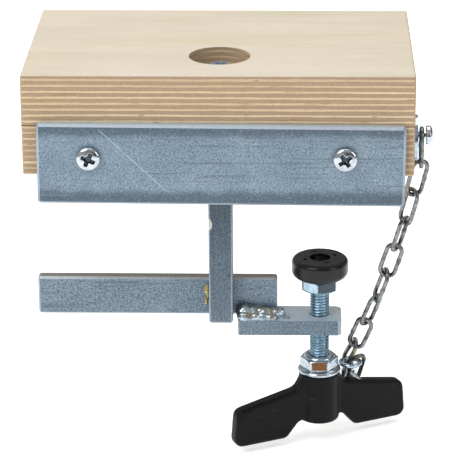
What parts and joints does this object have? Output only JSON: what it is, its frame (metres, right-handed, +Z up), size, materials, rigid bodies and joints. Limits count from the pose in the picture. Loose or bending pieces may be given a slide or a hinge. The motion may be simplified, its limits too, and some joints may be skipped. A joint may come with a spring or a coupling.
{
  "type": "super clamp",
  "caption": "Wing-screw clamp on a laminated plywood block: welded steel post, bar and arm, rubber pad on a threaded screw, and a keeper chain.",
  "frame": {"origin": "the point of the block's underside that the clamp pad closes on, on the clamp screw's axis", "axes": "+Z up along the clamp screw, from the wing handle to the block; +X along the block from the post towards the clamp screw; +Y from the steel front plate to the rear"},
  "size_m": [0.1977, 0.1243, 0.203],
  "materials": {
    "plywood": "satin",
    "zinc_steel": "galvanised, speckled",
    "weld_steel": "as welded, plated over",
    "bright_zinc": "bright zinc plated",
    "chain_steel": "dull zinc plated",
    "rubber": "satin",
    "black_plastic": "satin, lightly grained"
  },
  "bodies": {
    "root": {"block_upper_board": "plywood", "block_lower_board": "plywood", "front_plate": "zinc_steel", "plate_screws": "bright_zinc", "post": "zinc_steel", "bearing_washer": "bright_zinc", "post_washer": "bright_zinc", "post_nut": "bright_zinc", "lower_bar": "zinc_steel", "screw_arm": "zinc_steel", "arm_weld": "weld_steel", "post_weld": "weld_steel", "anchor_screw": "bright_zinc", "anchor_washer": "bright_zinc", "chain_link_1": "chain_steel", "chain_link_2": "chain_steel", "chain_link_3": "chain_steel", "chain_link_4": "chain_steel", "chain_link_5": "chain_steel", "chain_link_6": "chain_steel", "chain_link_7": "chain_steel", "chain_link_8": "chain_steel"},
    "pad": {"rubber_pad": "rubber", "pad_washer": "bright_zinc", "chain_link_9": "chain_steel", "chain_ring": "bright_zinc", "chain_end_link": "chain_steel"},
    "screw": {"clamp_bolt": "bright_zinc", "pad_screw": "bright_zinc", "lock_nut": "bright_zinc", "wing_handle": "black_plastic", "handle_insert": "bright_zinc", "handle_screw": "bright_zinc"}
  },
  "joints": [
    {"name": "screw_advance", "type": "slide", "parent": "root", "child": "pad", "axis": [0, 0, 1], "range_m": [-0.003, 0.0135], "deforming": ["chain_link_1", "chain_link_2", "chain_link_3", "chain_link_4", "chain_link_5", "chain_link_6", "chain_link_7", "chain_link_8", "chain_link_9", "chain_ring", "chain_end_link"]},
    {"name": "screw_turn", "type": "hinge", "parent": "pad", "child": "screw", "pos_m": [0, 0, -0.1], "axis": [0, 0, 1], "range_deg": [-720.5, 3240.5]}
  ],
  "couplings": [
    {"joint": "screw_turn", "follows": "screw_advance", "rad_per_m": 4188.8}
  ]
}
